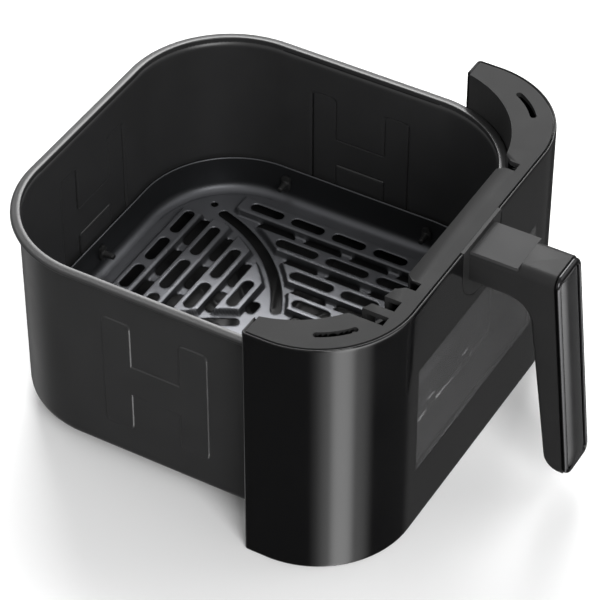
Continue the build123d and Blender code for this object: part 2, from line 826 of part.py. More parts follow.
with BuildPart() as grip_panel:
    with BuildSketch(grip_plane(trim_middle)):
        RectangleRounded(
            2 * (trim_half - trim_wall - gap),
            trim_length - 2 * (trim_wall + gap),
            trim_corner - trim_wall - gap,
        )
    extrude(amount=trim_depth - panel_drop)
    face = grip_panel.faces().sort_by(Axis((0, 0, 0), (0, -1, grip_lean)))[-1]
    fillet(face.edges(), 1.4)

# ---- Fasteners ----


def screws(points, level, length, radius, head_radius, head_height):
    """Upright screws with their heads below, at points on a horizontal plane."""
    with BuildPart() as group:
        with BuildSketch(Plane.XY.offset(level)):
            with Locations(*points):
                Circle(radius)
        extrude(amount=length)
        with BuildSketch(Plane.XY.offset(level)):
            with Locations(*points):
                Circle(head_radius)
        extrude(amount=-head_height)
        fillet(group.edges().filter_by(GeomType.CIRCLE).group_by(Axis.Z)[0], head_height * 0.4)
        with BuildSketch(Plane.XY.offset(level - head_height)):
            with Locations(*points):
                Rectangle(0.8, head_radius)
                Rectangle(head_radius, 0.8)
        extrude(amount=head_height * 0.5, mode=Mode.SUBTRACT)
    return group


bezel_screws = screws(bezel_bosses, cover_top - liner_wall, 14, screw_core - 0.05, 3.0, 2.4)
cover_screws = screws(cover_bosses, cover_floor, 16, screw_core - 0.05, 3.0, 2.4)

with BuildPart() as handle_washers:
    extrude(
        front_circles(handle_screws_at, 4.4, bracket_reach - bracket_sheet - washer_height),
        amount=washer_height,
    )
    extrude(
        front_circles(handle_screws_at, handle_screw_radius + 0.2, bracket_reach - 10),
        amount=20,
        mode=Mode.SUBTRACT,
    )

with BuildPart() as handle_screws:
    head_back = bracket_reach - bracket_sheet - washer_height
    extrude(front_circles(handle_screws_at, handle_screw_radius, head_back), amount=handle_screw_length)
    extrude(front_circles(handle_screws_at, 3.8, head_back), amount=-handle_screw_head)
    with BuildSketch(Plane.XZ.offset(-reach(head_back - handle_screw_head))):
        with Locations(*handle_screws_at):
            RegularPolygon(1.7, 6)
    extrude(amount=handle_screw_head * 0.5, mode=Mode.SUBTRACT)

finished = {
    "pan": pan,
    "crisper_tray": crisper_tray,
    "tray_bumpers": tray_bumpers,
    "front_shell": front_shell,
    "top_bezel": top_bezel,
    "rear_cover": rear_cover,
    "window_pane": window_pane,
    "window_seal": window_seal,
    "window_shroud": window_shroud,
    "inner_glass": inner_glass,
    "glass_gasket": glass_gasket,
    "glass_frame": glass_frame,
    "glass_frame_rivets": glass_frame_rivets,
    "mount_bracket": mount_bracket,
    "bracket_rivets": bracket_rivets,
    "handle_base": handle_base,
    "handle_body": handle_body,
    "handle_core": handle_core,
    "core_screws": core_screws,
    "arm_cap": arm_cap,
    "grip_trim": grip_trim,
    "grip_panel": grip_panel,
    "handle_screws": handle_screws,
    "handle_washers": handle_washers,
    "bezel_screws": bezel_screws,
    "cover_screws": cover_screws,
}
for label, sub_part in finished.items():
    save(sub_part, label)
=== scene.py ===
import json
import math

import bmesh
import bpy
import numpy as np
from mathutils import Matrix, Vector


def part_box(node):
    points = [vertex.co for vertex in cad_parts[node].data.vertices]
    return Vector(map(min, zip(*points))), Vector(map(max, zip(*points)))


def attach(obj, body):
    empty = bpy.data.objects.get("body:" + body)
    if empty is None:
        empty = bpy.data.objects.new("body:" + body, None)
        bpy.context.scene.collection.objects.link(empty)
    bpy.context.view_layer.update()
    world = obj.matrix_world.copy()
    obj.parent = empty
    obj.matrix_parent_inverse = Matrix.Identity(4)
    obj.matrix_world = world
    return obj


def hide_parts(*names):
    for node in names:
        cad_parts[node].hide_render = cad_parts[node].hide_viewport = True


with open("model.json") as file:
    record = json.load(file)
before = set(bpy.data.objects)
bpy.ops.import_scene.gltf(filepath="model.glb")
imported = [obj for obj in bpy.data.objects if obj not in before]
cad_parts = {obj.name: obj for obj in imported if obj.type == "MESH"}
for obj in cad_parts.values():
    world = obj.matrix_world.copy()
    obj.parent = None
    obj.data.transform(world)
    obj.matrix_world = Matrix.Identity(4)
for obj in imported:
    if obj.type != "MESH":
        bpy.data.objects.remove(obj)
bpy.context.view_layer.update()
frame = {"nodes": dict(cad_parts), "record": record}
print("frame loaded:", len(frame["nodes"]), "pieces")

# All lengths below are in mm until a mesh is made
millimetre = 0.001
quarterTurn = math.pi / 2
farAway = 50.0  # a distance that stands for nowhere near an edge
sameSpot = 1e-4  # points closer than this are one point
record = frame["record"]
bodyOf = {node: body for body, nodes in record["behaviour"]["bodies"].items() for node in nodes}
slotOf = {entry["node"]: entry["material_slot"] for entry in record["subparts"]}
finishOf = {}
shownNodes = set()


# Lowest and highest corner of a CAD piece
def lowHigh(node):
    low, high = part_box(node)
    return np.array(low) / millimetre, np.array(high) / millimetre


shellLow, shellHigh = lowHigh("front_shell")
panLow, panHigh = lowHigh("pan")
panMiddle = np.array([0.0, (panLow[1] + panHigh[1]) / 2])

# What a finish has unless it says otherwise
plainFinish = dict(
    metallic=0.0,
    ior=1.5,
    alpha=1.0,
    blotch=0.12,  # share by which slow noise lightens and darkens the colour
    blotchScale=60.0,
    blotchDetail=3.0,
    roughSpread=0.08,  # share by which it changes the roughness
    grain=0.0,  # strength of the fine bump
    grainDetail=2.0,
    grainDepth=0.05,
    stretch=(1.0, 1.0, 1.0),
)
noiseSpan = (0.3, 0.7)  # where most values of the slow noise lie


# A shader node with its settings; a socket's entry is either its value or the output linked to it
def addNode(tree, kind, sockets=None, **settings):
    node = tree.nodes.new("ShaderNode" + kind)
    for setting, value in settings.items():
        setattr(node, setting, value)
    for socket, value in (sockets or {}).items():
        if isinstance(value, bpy.types.NodeSocket):
            tree.links.new(value, node.inputs[socket])
        else:
            node.inputs[socket].default_value = value
    return node


# Surface on Object coordinates. Slow noise runs the colour from colour * (1 - blotch) to
# colour * (1 + blotch) and the roughness likewise, and fine noise is the height of a bump
def surfaceFinish(slot, changes):
    finish = {**plainFinish, **changes}
    paint = bpy.data.materials.new(slot)
    paint.use_nodes = True
    tree = paint.node_tree
    shader = tree.nodes["Principled BSDF"]
    shader.inputs["Metallic"].default_value = finish["metallic"]
    shader.inputs["IOR"].default_value = finish["ior"]
    shader.inputs["Alpha"].default_value = finish["alpha"]
    place = addNode(tree, "TexCoord").outputs["Object"]
    slow = {"Vector": place, "Scale": finish["blotchScale"], "Detail": finish["blotchDetail"]}
    blotches = addNode(tree, "TexNoise", slow).outputs["Fac"]
    darker = [c * (1 - finish["blotch"]) for c in finish["colour"]] + [1.0]
    lighter = [c * (1 + finish["blotch"]) for c in finish["colour"]] + [1.0]
    shade = addNode(tree, "Mix", {"Factor": blotches, "A": darker, "B": lighter}, data_type="RGBA")
    colour = shade.outputs["Result"]
    if "upright" in finish:  # painted shade: faces darken towards the upright colour as they turn from upward to upright
        upward = addNode(tree, "Attribute", attribute_name="upward").outputs["Fac"]
        paintedShadeMix = {"Factor": upward, "A": (*finish["upright"], 1.0), "B": colour}
        colour = addNode(tree, "Mix", paintedShadeMix, data_type="RGBA").outputs["Result"]
    tree.links.new(colour, shader.inputs["Base Color"])
    rough = addNode(
        tree,
        "MapRange",
        {
            "Value": blotches,
            "From Min": noiseSpan[0],
            "From Max": noiseSpan[1],
            "To Min": finish["roughness"] * (1 - finish["roughSpread"]),
            "To Max": finish["roughness"] * (1 + finish["roughSpread"]),
        },
    )
    tree.links.new(rough.outputs["Result"], shader.inputs["Roughness"])
    if finish["grain"] > 0:
        drawn = addNode(tree, "Mapping", {"Vector": place, "Scale": finish["stretch"]}).outputs["Vector"]
        fine = {"Vector": drawn, "Scale": finish["grainScale"], "Detail": finish["grainDetail"]}
        grain = addNode(tree, "TexNoise", fine).outputs["Fac"]
        depth = finish["grainDepth"] * millimetre
        relief = {"Strength": finish["grain"], "Distance": depth, "Height": grain}
        tree.links.new(addNode(tree, "Bump", relief).outputs["Normal"], shader.inputs["Normal"])
    return paint


# Gives a piece the finish of its slot, which is made the first time, hangs it under the body it moves with,
# and hides the CAD piece it stands for, which is noted as shown
def dress(piece, node, finish):
    slot = slotOf[node]
    if slot not in finishOf:
        finishOf[slot] = surfaceFinish(slot, finish)
    piece.data.materials.clear()
    piece.data.materials.append(finishOf[slot])
    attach(piece, bodyOf[node])
    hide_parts(node)
    shownNodes.add(node)


# Smooth faces, with a hard edge where two of them meet at more than an angle in degrees
def smoothFaces(mesh, sharpAngle):
    mesh.polygons.foreach_set("use_smooth", np.ones(len(mesh.polygons), dtype=bool))
    mesh.set_sharp_from_angle(angle=math.radians(sharpAngle))


# Object from points and blocks of faces, with points in one spot merged; its attribute "upward" is the
# square of the normal's height, and 0 where the surface looks down; a finish with an upright colour
# uses it as the mask of painted shade on upright faces
def meshPiece(name, points, blocks, node, finish, sharpAngle=35.0):
    mesh = bpy.data.meshes.new(name)
    faces = [face for block in blocks for face in block.tolist()]
    mesh.from_pydata((points * millimetre).tolist(), [], faces)
    merged = bmesh.new()
    merged.from_mesh(mesh)
    bmesh.ops.remove_doubles(merged, verts=merged.verts, dist=sameSpot * millimetre)
    merged.to_mesh(mesh)
    merged.free()
    mesh.validate()
    smoothFaces(mesh, sharpAngle)
    normals = np.empty(3 * len(mesh.vertices), dtype=np.float32)
    mesh.vertices.foreach_get("normal", normals)
    upward = mesh.attributes.new("upward", "FLOAT", "POINT")
    upward.data.foreach_set("value", np.clip(normals[2::3], 0, 1) ** 2)
    piece = bpy.data.objects.new(name, mesh)
    bpy.context.scene.collection.objects.link(piece)
    dress(piece, node, finish)
    return piece


# Gives a surface its thickness, below or inside the side that shows
def thicken(piece, sheet):
    solid = piece.modifiers.new("thickness", "SOLIDIFY")
    solid.thickness = sheet * millimetre
    solid.offset = -1.0


# Quads of a grid of rows x columns points; a closed direction joins its last line to its first. The normal
# is the step along the rows crossed with the step along the columns
def gridFaces(rows, columns, closed=False):
    i = np.arange(rows if closed else rows - 1)
    j = np.arange(columns if closed else columns - 1)
    low, left = np.meshgrid(i, j, indexing="ij")
    high, right = (low + 1) % rows, (left + 1) % columns
    corners = (low * columns + left, high * columns + left, high * columns + right, low * columns + right)
    return np.stack([c.ravel() for c in corners], axis=1)


# Even grid line that reaches a little past both sides of a half width
def gridLine(half, step, margin=0.5):
    return np.arange(-half - margin, half + margin + step, step)


# Grid over two parameters, cut along the zero line of a distance field that is positive on the sheet. A cell
# that the line crosses is split into two triangles, and an edge from a to b that it crosses gets the point
# a + (b - a) * fieldA / (fieldA - fieldB). Gives the parameters of each point, and the faces
def cutSheet(across, along, field):
    u, v = (line.ravel() for line in np.meshgrid(across, along, indexing="ij"))
    value = field(u, v)
    leastField = 1e-6  # so that no grid point lies on the line itself
    value = np.where(np.abs(value) < leastField, leastField, value)
    quads = gridFaces(len(across), len(along))
    inside = value[quads] > 0
    whole = quads[inside.all(axis=1)]
    mixed = quads[inside.any(axis=1) & ~inside.all(axis=1)]
    triangles = np.concatenate([mixed[:, [0, 1, 2]], mixed[:, [0, 2, 3]]])
    inside = value[triangles] > 0
    count = inside.sum(axis=1)
    full = triangles[count == 3]
    crossed = (count == 1) | (count == 2)
    differs = inside[crossed] == (count[crossed] == 1)[:, None]  # the one corner unlike the other two
    turned = (np.argmax(differs, axis=1)[:, None] + np.arange(3)) % 3
    alone, second, third = np.take_along_axis(triangles[crossed], turned, axis=1).T
    edges = np.concatenate([np.stack([alone, second], axis=1), np.stack([alone, third], axis=1)])
    edges, place = np.unique(np.sort(edges, axis=1), axis=0, return_inverse=True)
    onSecond, onThird = np.split(place.ravel() + len(u), 2)
    a, b = edges.T
    share = value[a] / (value[a] - value[b])
    u = np.concatenate([u, u[a] + (u[b] - u[a]) * share])
    v = np.concatenate([v, v[a] + (v[b] - v[a]) * share])
    tip = value[alone] > 0
    tips = np.stack([alone, onSecond, onThird], axis=1)[tip]
    rests = np.stack([onSecond, second, third, onThird], axis=1)[~tip]
    blocks = [whole, full, tips, rests]
    used, order = np.unique(np.concatenate([block.ravel() for block in blocks]), return_inverse=True)
    parts = np.split(order.ravel(), np.cumsum([block.size for block in blocks])[:-1])
    return u[used], v[used], [part.reshape(-1, block.shape[1]) for part, block in zip(parts, blocks)]


# Points and outward normals round a rectangle with round corners, from its right side, anticlockwise:
# centre + corner * (cos, sin) on each arc, and even steps from one arc to the next
def roundedLoop(halfX, halfY, corner, arcSteps, sideSteps):
    points, normals = [], []
    signs = ((1, 1), (-1, 1), (-1, -1), (1, -1))
    centres = [np.array([a * (halfX - corner), b * (halfY - corner)]) for a, b in signs]
    share = np.linspace(0, 1, sideSteps + 1)[1:-1, None]
    for quarter, centre in enumerate(centres):
        angle = (quarter + np.linspace(0, 1, arcSteps + 1)) * quarterTurn
        normal = np.stack([np.cos(angle), np.sin(angle)], axis=1)
        side = (centres[(quarter + 1) % 4] - centre) * share
        points += [centre + corner * normal, centre + corner * normal[-1] + side]
        normals += [normal, np.repeat(normal[-1:], len(share), axis=0)]
    return np.concatenate(points), np.concatenate(normals)


# Closed profile of (outward, height) points carried once round a closed loop: loop + outward * normal
def carried(profile, loop, normal):
    around = loop[None, :, :] + profile[:, 0][:, None, None] * normal[None, :, :]
    height = np.repeat(profile[:, 1][:, None], len(loop), axis=1)
    points = np.concatenate([around, height[:, :, None]], axis=2).reshape(-1, 3)
    return points, [gridFaces(len(profile), len(loop), closed=True)]


# Points on an ellipse, centre + radii * (cos, sin), from one angle to another in degrees
def arcPoints(centre, radii, start, end, count):
    angle = np.radians(np.linspace(start, end, count))
    return np.stack([centre[0] + radii[0] * np.cos(angle), centre[1] + radii[1] * np.sin(angle)], axis=1)


# 0 before the start, 1 past the end, and t * t * (3 - 2 * t) between them
def smoothStep(start, end, value):
    t = np.clip((value - start) / (end - start), 0, 1)
    return t * t * (3 - 2 * t)


# How far a rolled edge drops: depth * (1 - sqrt(1 - t * t)), where t is 1 at the edge and 0 past the width
def edgeDrop(distance, width, depth):
    t = np.clip(1 - distance / width, 0, 1)
    return depth * (1 - np.sqrt(1 - t * t))


# Distance outside a slot along y round the origin: to the nearest point of its middle line, less its radius
def slotDistance(x, y, length, width):
    reachY = np.clip(y, -(length - width) / 2, (length - width) / 2)
    return np.hypot(x, y - reachY) - width / 2


# Distance outside a rectangle with round corners: past its sides drawn in by the radius, less the radius
def softBoxDistance(x, y, halfX, halfY, corner):
    outX = np.abs(x) - halfX + corner
    outY = np.abs(y) - halfY + corner
    rounded = np.hypot(np.clip(outX, 0, None), np.clip(outY, 0, None))
    return rounded + np.minimum(np.maximum(outX, outY), 0) - corner


tray = dict(
    half=110.8,
    corner=59.5,
    floorLevel=26.3,
    rimLevel=49.3,
    foot=7.0,  # radius between floor and wall, outside
    sheet=1.0,
    ribHeight=4.0,
    ribHalf=7.1,  # half width of a rib, to the middle of its sloped side
    slope=1.9,  # width of the sloped side
    ribLimit=68.0,  # how far a rib may reach along its row
    ribRows=(88.5, 67.5, 46.5, 25.5),
    slotRows=(  # rows of slots, their lengths and width, and how clear they stay of the two curved bands
        dict(rows=(88.5, 67.5, 46.5, 25.5), lengths=(22.0, 28.0, 28.5, 28.5), width=6.6, clear=(9.5, 14.3)),
        dict(rows=(78.0, 57.0, 36.0, 15.0), lengths=(25.5, 22.5, 22.5, 22.5), width=6.0, clear=(8.5, 11.0)),
    ),
    slotLimit=60.0,  # how far a row of slots may reach
    slotGap=6.0,
    shortest=8.0,  # a shorter slot is left out
    bandCentre=(-27.7, 101.1),
    bandRadius=109.0,
    bandWidth=6.3,
    bandFrom=-65.0,  # degrees
    bandTurn=50.0,
    bandInner=101.8,  # ribs end inside this radius about the next band's centre
    bandOuter=115.0,  # and begin outside this one
    cornerHole=82.5,
    holeRadius=2.2,
    step=0.95,  # grid of the floor
    lip=0.25,  # how far a slot's edge is rolled down
    lipWidth=0.9,
    wallLap=0.6,  # how far the wall runs in under the floor
    wallTuck=0.03,
    loopSteps=(40, 16),  # steps along each corner and each side
    edgeHeight=0.9,  # round of the wall's top
    edgeShift=0.2,  # the top's outer half stands out by this
    edgeSwell=0.15,
    edgeDepth=1.9,
    finish=dict(
        colour=(0.18, 0.184, 0.198),
        # painted shade: colour of upright faces, darker than upward ones as if shaded from light above
        upright=(0.028, 0.029, 0.031),
        metallic=0.65,
        roughness=0.42,
        grain=0.3,
        grainScale=1300,
        grainDepth=0.06,
    ),
)


# Ends of a row between two curved bands: where the line x = row meets the circles about their centres
def rowLimits(row, startRadius, endRadius):
    cx, cy = tray["bandCentre"]
    top = cy - math.sqrt(max(startRadius**2 - (row - cx) ** 2, (cy - tray["slotLimit"]) ** 2))
    bottom = -cx - math.sqrt(endRadius**2 - (row - cy) ** 2)
    return top, bottom


# Middle and length of each slot of a row, laid one after another from one end, a gap apart
def slotSpans(top, bottom, length, fromTop):
    spans = []
    used = 0.0
    while top - bottom - used >= tray["shortest"]:
        size = min(length, top - bottom - used)
        spans.append((top - used - size / 2 if fromTop else bottom + used + size / 2, size))
        used += size + tray["slotGap"]
    return spans


# The point turned back by quarter turns, into the first quarter's own axes
def quarterPoint(x, y, quarter):
    c, s = math.cos(quarterTurn * quarter), math.sin(quarterTurn * quarter)
    return x * c + y * s, -x * s + y * c


# Least distance to any slot, corner hole or curved band slot of the four quarters; positive on the metal
def slotField(x, y):
    nearest = np.full(x.shape, farAway)
    radius = tray["bandRadius"]
    cx, cy = tray["bandCentre"]
    fromAngle = math.radians(tray["bandFrom"])
    toAngle = fromAngle + math.radians(tray["bandTurn"])
    for quarter in range(4):
        px, py = quarterPoint(x, y, quarter)
        for family in tray["slotRows"]:
            startRadius = radius + family["clear"][0]
            endRadius = radius - family["clear"][1]
            for row, length in zip(family["rows"], family["lengths"]):
                top, bottom = rowLimits(row, startRadius, endRadius)
                for middle, size in slotSpans(top, bottom, length, quarter % 2 == 0):
                    nearest = np.minimum(nearest, slotDistance(px - row, py - middle, size, family["width"]))
        angle = np.clip(np.arctan2(py - cy, px - cx), fromAngle, toAngle)
        bandX, bandY = cx + radius * np.cos(angle), cy + radius * np.sin(angle)
        nearest = np.minimum(nearest, np.hypot(px - bandX, py - bandY) - tray["bandWidth"] / 2)
        hole = tray["cornerHole"]
        nearest = np.minimum(nearest, np.hypot(px - hole, py - hole) - tray["holeRadius"])
    return nearest


# Distance inside the raised ribs, positive on a rib: the least distance to a rib's sides and ends, and the
# largest of these over all ribs
def ribField(x, y):
    deepest = np.full(x.shape, -farAway)
    cx, cy = tray["bandCentre"]
    for quarter in range(4):
        px, py = quarterPoint(x, y, quarter)
        insideEnd = tray["bandInner"] - np.hypot(px - cy, py + cx)
        outsideStart = np.hypot(px - cx, py - cy) - tray["bandOuter"]
        ends = np.minimum(np.minimum(insideEnd, outsideStart), tray["ribLimit"] - np.abs(py))
        for row in tray["ribRows"]:
            sides = tray["ribHalf"] - np.abs(px - row)
            deepest = np.maximum(deepest, np.minimum(sides, ends))
    return deepest


# Floor level, plus the ribs' height smoothed over their slope, less the rolled lip of each slot
def trayHeight(x, y):
    rise = tray["ribHeight"] * smoothStep(-tray["slope"] / 2, tray["slope"] / 2, ribField(x, y))
    return tray["floorLevel"] + rise - edgeDrop(slotField(x, y), tray["lipWidth"], tray["lip"])


# The floor is a cut sheet at trayHeight, and the wall a profile carried round it: up the inner bend and
# face, over the rounded top, and down the outer face and bend
def crisperTray():
    sheet, level, rim = tray["sheet"], tray["floorLevel"], tray["rimLevel"]
    foot = tray["foot"] - sheet
    side, corner = tray["half"] - sheet, tray["corner"] - sheet

    def onFloor(x, y):
        return np.minimum(-softBoxDistance(x, y, side - foot, side - foot, corner - foot), slotField(x, y))

    line = gridLine(side - foot, tray["step"])
    x, y, blocks = cutSheet(line, line, onFloor)
    points = np.stack([x, y + panMiddle[1], trayHeight(x, y)], axis=1)
    thicken(meshPiece("tray_floor", points, blocks, "crisper_tray", tray["finish"]), sheet)

    edge, half = tray["edgeHeight"], sheet / 2
    bend = (-foot, level + foot)
    profile = np.concatenate([
        [(-foot - tray["wallLap"], level - tray["wallTuck"])],
        arcPoints(bend, (foot, foot), -90, 0, 9),
        arcPoints((half, rim - edge), (half, edge), 180, 90, 5),
        arcPoints((half + tray["edgeShift"], rim - edge), (half + tray["edgeSwell"], edge), 70, -30, 6),
        [(sheet, rim - tray["edgeDepth"])],
        arcPoints(bend, (foot + sheet, foot + sheet), 0, -90, 9),
        [(-foot - tray["wallLap"], level - sheet)],
    ])
    loop, normal = roundedLoop(side, side, corner, *tray["loopSteps"])
    points, blocks = carried(profile, loop + panMiddle, normal)
    meshPiece("tray_wall", points, blocks, "crisper_tray", tray["finish"], sharpAngle=50)


crisperTray()
print("crisper tray pressed")

pan = dict(
    half=113.5,
    corner=61.0,
    sheet=1.2,
    bottom=12.8,
    rimLevel=137.3,
    rimReach=4.5,
    rimDrop=3.2,
    foot=5.0,  # radius between floor and wall
    pressDepth=0.8,
    pressSlope=0.9,
    slopeLines=(-0.75, -0.25, 0.25, 0.75),  # grid lines across a slope, as shares of its width
    pressCorner=3.0,
    barMiddle=24.2,
    barHalf=8.85,
    press=(73.8, 38.5),  # middle and half height of the pressed H
    cross=(72.0, 10.25),  # middle and half height of its bar
    crossCorner=0.1,
    window=(76.4, 47.0, 32.4, 5.0),  # middle height, half width, half height and corner of the front opening
    ribs=16,
    ribSpan=(31.0, 93.0),  # radial ribs of the floor run between these radii
    ribWidth=3.4,
    ribHeight=0.8,
    ribEase=(0.6, -0.8),  # a rib rises between these distances from its outline
    wallStep=1.9,
    bendRows=6,
    leastGap=0.01,  # between two columns of the wall
    flatNormal=0.9999,  # a normal this far along an axis is on a flat side
    floorStep=1.3,
    wallLap=0.5,  # how far the wall runs up into the rim
    floorLap=0.4,  # how far the floor runs out over the wall's bend
    floorLift=0.02,
    innerRound=0.6,
    crest=((0.1, 0.0), (0.7, 0.03), (1.3, 0.15), (2.9, 0.5)),  # outward and down along the rim's top
    curl=(1.5, 1.4),  # radii of the rim's rolled edge
    curlDrop=1.95,
    curlEnd=1.4,
    rimGap=0.02,
    loopSteps=(40, 16),
    finish=dict(colour=(0.024, 0.024, 0.0244), roughness=0.36, grain=0.35, grainScale=1400, grainDepth=0.08),
)


# Outward bulge of the H: its depth inside the outline, easing to 0 over the slope
def pressedH(along, height):
    middle, halfHeight = pan["press"]
    bars = softBoxDistance(
        np.abs(along) - pan["barMiddle"], height - middle, pan["barHalf"], halfHeight, pan["pressCorner"]
    )
    middle, halfHeight = pan["cross"]
    cross = softBoxDistance(along, height - middle, pan["barMiddle"], halfHeight, pan["crossCorner"])
    ease = pan["pressSlope"] / 2
    return pan["pressDepth"] * smoothStep(ease, -ease, np.minimum(bars, cross))


# Point and normal at a length along a rounded square, from the middle of its right side, anticlockwise: up
# the side, round the arc and along the next side, and the same turned for each further quarter
def squarePath(travel, half, corner):
    straight = half - corner
    arc = corner * quarterTurn
    quarter = 2 * straight + arc
    turn = np.floor(travel / quarter)
    rest = travel - turn * quarter
    bend = np.clip((rest - straight) / arc, 0, 1) * quarterTurn
    localX = straight + corner * np.cos(bend) - np.clip(rest - straight - arc, 0, straight)
    localY = np.clip(rest, 0, straight) + corner * np.sin(bend)
    c, s = np.cos(turn * quarterTurn), np.sin(turn * quarterTurn)
    n0, n1 = np.cos(bend), np.sin(bend)
    return localX * c - localY * s, localX * s + localY * c, n0 * c - n1 * s, n0 * s + n1 * c


# Inset and height of the outer face after climbing from the floor's edge: round the bend, inset
# foot * (1 - sin) and height bottom + foot * (1 - cos), then straight up
def wallSection(climb):
    foot = pan["foot"]
    turn = np.clip(climb / foot, 0, quarterTurn)
    past = np.clip(climb - foot * quarterTurn, 0, None)
    return foot - foot * np.sin(turn), pan["bottom"] + foot - foot * np.cos(turn) + past


# The wall is a cut sheet over the length round the pan and the climb, with finer lines where the pressing
# has its slopes; it stands out by the pressing less the inset
def panWall():
    half, corner, foot = pan["half"], pan["corner"], pan["foot"]
    around = 8 * (half - corner) + 2 * math.pi * corner
    bend = foot * quarterTurn
    wallTop = pan["rimLevel"] - pan["rimDrop"] + pan["wallLap"]
    slopeLines = np.array(pan["slopeLines"]) * pan["pressSlope"]

    def onWall(travel, climb):
        x, _, _, ny = squarePath(travel, half, corner)
        middle, halfWidth, halfHeight, windowCorner = pan["window"]
        opening = softBoxDistance(x, wallSection(climb)[1] - middle, halfWidth, halfHeight, windowCorner)
        return np.where(ny < -pan["flatNormal"], opening, farAway)

    edges = np.array([side * pan["barMiddle"] + way * pan["barHalf"] for side in (1, -1) for way in (-1, 1)])
    middles = np.arange(5)[:, None, None] * around / 4
    fine = middles + edges[:, None] + slopeLines
    columns = np.concatenate([np.linspace(0, around, int(around / pan["wallStep"]) + 1), fine.ravel()])
    columns = np.unique(np.round(columns[(columns > 0) & (columns < around - pan["leastGap"])], 3))
    columns = np.concatenate([[0.0], columns, [around]])

    toClimb = bend - pan["bottom"] - foot  # what is added to a height to give its climb
    spans = (pan["press"], pan["cross"])
    levels = np.array([middle + side * reach for middle, reach in spans for side in (-1, 1)])
    fine = levels[:, None] + toClimb + slopeLines
    highest = wallTop + toClimb
    onBend = np.linspace(0, bend, pan["bendRows"], endpoint=False)
    aboveBend = np.arange(bend, wallTop - pan["bottom"], pan["wallStep"])
    climbs = np.unique(np.round(np.concatenate([onBend, aboveBend, fine.ravel(), [highest]]), 3))

    travel, climb, blocks = cutSheet(columns, climbs, onWall)
    x, y, nx, ny = squarePath(np.where(travel < around, travel, 0.0), half, corner)
    inset, height = wallSection(climb)
    flatWall = np.maximum(np.abs(nx), ny) > pan["flatNormal"]  # both sides and the back, not the front
    offset = flatWall * pressedH(np.where(np.abs(nx) > 0.5, y, x), height) - inset
    points = np.stack([x + offset * nx, y + offset * ny + panMiddle[1], height], axis=1)
    thicken(meshPiece("pan_wall", points, blocks, "pan", pan["finish"]), pan["sheet"])


# The floor is a cut sheet; each rib is a slot shape along a ray, raised with smoothStep
def panFloor():
    flat = pan["half"] - pan["foot"] + pan["floorLap"]
    corner = pan["corner"] - pan["foot"] + pan["floorLap"]
    line = gridLine(flat, pan["floorStep"])
    x, y, blocks = cutSheet(line, line, lambda x, y: -softBoxDistance(x, y, flat, flat, corner))
    step = 2 * math.pi / pan["ribs"]
    angle = np.mod(np.arctan2(y, x) + step / 2, step) - step / 2
    radius = np.hypot(x, y)
    inner, outer = pan["ribSpan"]
    beyond = radius - (inner + outer) / 2
    outside = slotDistance(radius * np.sin(angle), beyond, outer - inner, pan["ribWidth"])
    rib = pan["ribHeight"] * smoothStep(*pan["ribEase"], outside)
    height = pan["bottom"] + pan["sheet"] + pan["floorLift"] + rib
    points = np.stack([x, y + panMiddle[1], height], axis=1)
    thicken(meshPiece("pan_floor", points, blocks, "pan", pan["finish"]), pan["sheet"])


# The rim is a profile carried round the wall: up its inner face, over the crest and round the rolled edge
def panRim():
    sheet, top, reach, drop = pan["sheet"], pan["rimLevel"], pan["rimReach"], pan["rimDrop"]
    inner = pan["innerRound"]
    curl = pan["curl"]
    profile = np.concatenate([
        [(-sheet, top - drop)],
        arcPoints((-inner, top - inner), (sheet - inner, inner), 180, 90, 6),
        [(out, top - down) for out, down in pan["crest"]],
        arcPoints((reach - curl[0], top - pan["curlDrop"]), curl, 75, -60, 9),
        [(reach - pan["curlEnd"], top - drop), (pan["rimGap"], top - drop)],
    ])
    loop, normal = roundedLoop(pan["half"], pan["half"], pan["corner"], *pan["loopSteps"])
    points, blocks = carried(profile, loop + panMiddle, normal)
    meshPiece("pan_rim", points, blocks, "pan", pan["finish"], sharpAngle=40)


panWall()
panFloor()
panRim()
print("pan pressed")

grip = dict(
    lean=0.1,  # the outer face runs forward by this much for each mm down
    faceAtTop=184.55,  # the face's distance from the pan's middle at the height of the arm's top
    armTop=155.8,
    trimHalf=13.9,
    trimSpan=(18.2, 155.5),  # lower and upper end of the frame
    trimCorner=6.5,
    trimWall=3.0,
    trimDepth=3.3,
    innerRound=(0.8, 1.4),
    outerRound=(2.1, 2.2),
    beadFoot=((0.0, 1.0), (-0.7, 0.25), (-0.8, 0.0)),
    loopSteps=(16, 10),
    trimFinish=dict(colour=(0.035, 0.035, 0.036), metallic=1.0, roughness=0.24, grain=0.05, grainScale=900),
    joint=0.15,  # gap between frame and panel
    panelDepth=3.9,
    panelSheet=1.0,
    panelGrid=(45, 120),
    gridReach=(1.01, 1.002),  # the grid runs past the outline by these shares
    outlineSlack=1e-3,
    crown=2.3,  # how much the panel's middle stands over its long edges
    crownPower=2.6,
    endRun=14.0,  # length over which the ends slope
    endFlat=0.3,  # share of the crown that is lost there
    endSink=0.5,
    edgeRound=1.2,
    panelFinish=dict(
        colour=(0.035, 0.035, 0.036),
        metallic=0.5,
        roughness=0.22,
        grain=0.08,
        grainScale=900,
        stretch=(1.0, 1.0, 0.05),
    ),
)


# From (across, up, out) on the leaning face to the frame: the face's line, plus up along it and out from it
def onGripFace(points):
    across, up, out = points.T
    middle = sum(grip["trimSpan"]) / 2
    face = grip["faceAtTop"] + grip["lean"] * (grip["armTop"] - middle)
    length = math.hypot(1, grip["lean"])
    y = panMiddle[1] - face + (grip["lean"] * up - out) / length
    z = middle + (up + grip["lean"] * out) / length
    return np.stack([across, y, z], axis=1)


